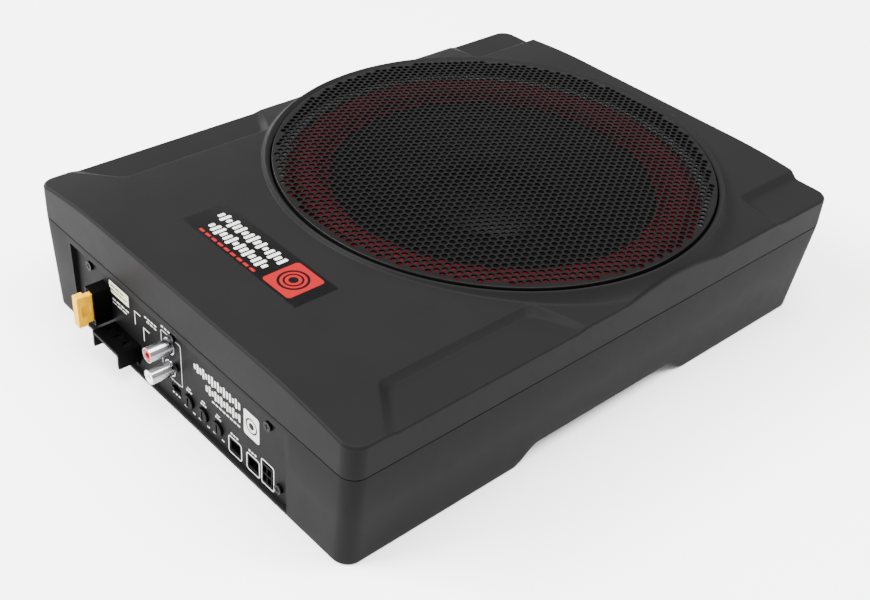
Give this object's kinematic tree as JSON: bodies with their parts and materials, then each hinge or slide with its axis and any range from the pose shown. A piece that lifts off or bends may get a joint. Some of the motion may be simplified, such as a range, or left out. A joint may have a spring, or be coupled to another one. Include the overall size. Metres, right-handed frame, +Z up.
{
  "type": "powered car subwoofer",
  "caption": "Flat powered car subwoofer: two-part black case, round perforated grille over a low-profile driver, and a recessed amplifier panel at one end.",
  "frame": {"origin": "on the surface that the feet stand on, midway along the overall length and width", "axes": "+Y away from the control panel along the length, +X across the width, +Z up"},
  "size_m": [0.269, 0.37, 0.0854],
  "materials": {
    "case_plastic": "fine moulded texture, satin",
    "seal_rubber": "matte",
    "black_steel": "black oxide, satin",
    "insert_brass": "satin",
    "badge_plastic": "semi-gloss with printed bars",
    "grille_paint": "perforated steel, satin black",
    "gasket_foam": "matte foam",
    "basket_paint": "satin black",
    "surround_red": "matte red",
    "cone_plastic": "matte",
    "spider_cloth": "treated cloth",
    "former_aluminium": "thin sheet",
    "copper_wire": "enamelled copper",
    "plated_steel": "zinc plated",
    "ferrite": "sintered, matte",
    "terminal_fibre": "fibre board",
    "wire_rubber": "insulated wire",
    "panel_paint": "fine powder coat with printed bars",
    "board_laminate": "solder mask, satin",
    "bright_steel": "plated",
    "sink_aluminium": "extruded",
    "component_black": "moulded epoxy",
    "capacitor_sleeve": "shrink sleeve",
    "connector_black": "moulded, satin",
    "contact_brass": "plated",
    "fuse_yellow": "translucent yellow",
    "jack_chrome": "nickel plated",
    "jack_red": "gloss",
    "jack_white": "gloss",
    "component_blue": "moulded",
    "knob_black": "satin"
  },
  "bodies": {
    "case": {"bottom_tray": "case_plastic", "top_cover": "case_plastic", "case_seal": "seal_rubber", "case_screws": "black_steel", "mounting_inserts": "insert_brass", "badge_plate": "badge_plastic", "grille": "grille_paint", "grille_gasket": "gasket_foam", "driver_gasket": "gasket_foam", "driver_basket": "basket_paint", "driver_screws": "black_steel", "surround_trim": "gasket_foam", "top_plate": "plated_steel", "magnet_ring": "ferrite", "yoke": "plated_steel", "driver_terminals": "terminal_fibre", "speaker_wires": "wire_rubber", "control_panel": "panel_paint", "panel_screws": "black_steel", "circuit_board": "board_laminate", "board_screws": "bright_steel", "heat_sink": "sink_aluminium", "power_transistors": "component_black", "capacitors": "capacitor_sleeve", "choke_core": "ferrite", "choke_winding": "copper_wire", "fuse_holder": "connector_black", "fuse_contacts": "contact_brass", "terminal_block": "connector_black", "terminal_clamps": "bright_steel", "terminal_screws": "bright_steel", "jack_housing": "connector_black", "jack_shells": "jack_chrome", "jack_ring_red": "jack_red", "jack_ring_white": "jack_white", "jack_contacts": "contact_brass", "jack_screw": "black_steel", "potentiometers": "component_blue", "phase_switch": "connector_black", "remote_socket": "connector_black", "link_socket": "connector_black", "speaker_input_socket": "connector_black", "socket_pins": "contact_brass"},
    "cone_assembly": {"cone": "cone_plastic", "dust_cap": "cone_plastic", "voice_coil_former": "former_aluminium", "voice_coil_winding": "copper_wire", "surround": "surround_red", "spider": "spider_cloth", "tinsel_leads": "copper_wire"},
    "fuse": {"fuse_body": "fuse_yellow", "fuse_blades": "bright_steel"},
    "level_knob": {"level_knob": "knob_black"},
    "crossover_knob": {"crossover_knob": "knob_black"},
    "bass_knob": {"bass_knob": "knob_black"},
    "phase_slider": {"phase_slider": "knob_black"}
  },
  "joints": [
    {"name": "cone_travel", "type": "slide", "parent": "case", "child": "cone_assembly", "axis": [0, 0, 1], "range_m": [-0.005, 0.005], "stiffness_N_per_m": 6000, "deforming": ["surround", "spider", "tinsel_leads"]},
    {"name": "fuse_pull", "type": "slide", "parent": "case", "child": "fuse", "axis": [0, -1, 0], "range_m": [0, 0.016]},
    {"name": "level_turn", "type": "hinge", "parent": "case", "child": "level_knob", "pos_m": [0.0034, -0.164, 0.0133], "axis": [0, -1, 0], "range_deg": [-140, 140]},
    {"name": "crossover_turn", "type": "hinge", "parent": "case", "child": "crossover_knob", "pos_m": [0.0162, -0.164, 0.0133], "axis": [0, -1, 0], "range_deg": [-140, 140]},
    {"name": "bass_turn", "type": "hinge", "parent": "case", "child": "bass_knob", "pos_m": [0.029, -0.164, 0.0133], "axis": [0, -1, 0], "range_deg": [-140, 140]},
    {"name": "phase_slide", "type": "slide", "parent": "case", "child": "phase_slider", "axis": [1, 0, 0], "range_m": [0, 0.0032]}
  ]
}
